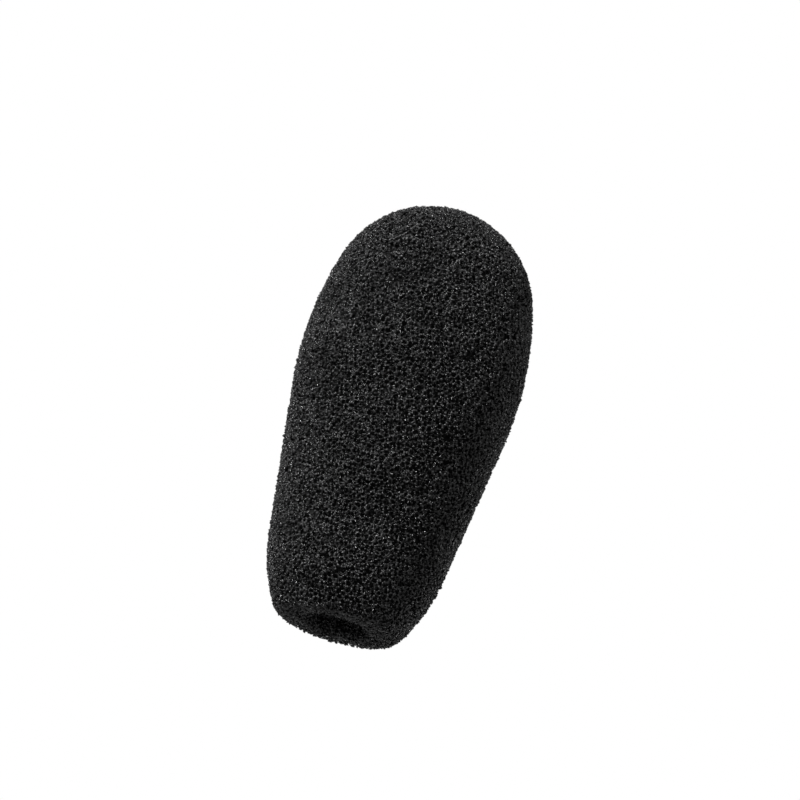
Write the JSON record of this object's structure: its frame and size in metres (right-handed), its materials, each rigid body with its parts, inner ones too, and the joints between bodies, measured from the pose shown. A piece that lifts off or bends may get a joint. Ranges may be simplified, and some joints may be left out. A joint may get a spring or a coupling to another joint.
{
  "type": "microphone foam windscreen",
  "caption": "Black open-cell foam windscreen, a tapered blunt-headed sleeve that slips over a headset boom or gooseneck microphone capsule.",
  "frame": {"origin": "centre of the mouth face, where the bore opens", "axes": "+Z along the bore axis, from the mouth up to the rounded nose"},
  "size_m": [0.0226, 0.0226, 0.045],
  "materials": {
    "foam": "open-cell polyurethane foam, matte black"
  },
  "bodies": {
    "root": {"foam_windscreen": "foam"}
  },
  "joints": []
}
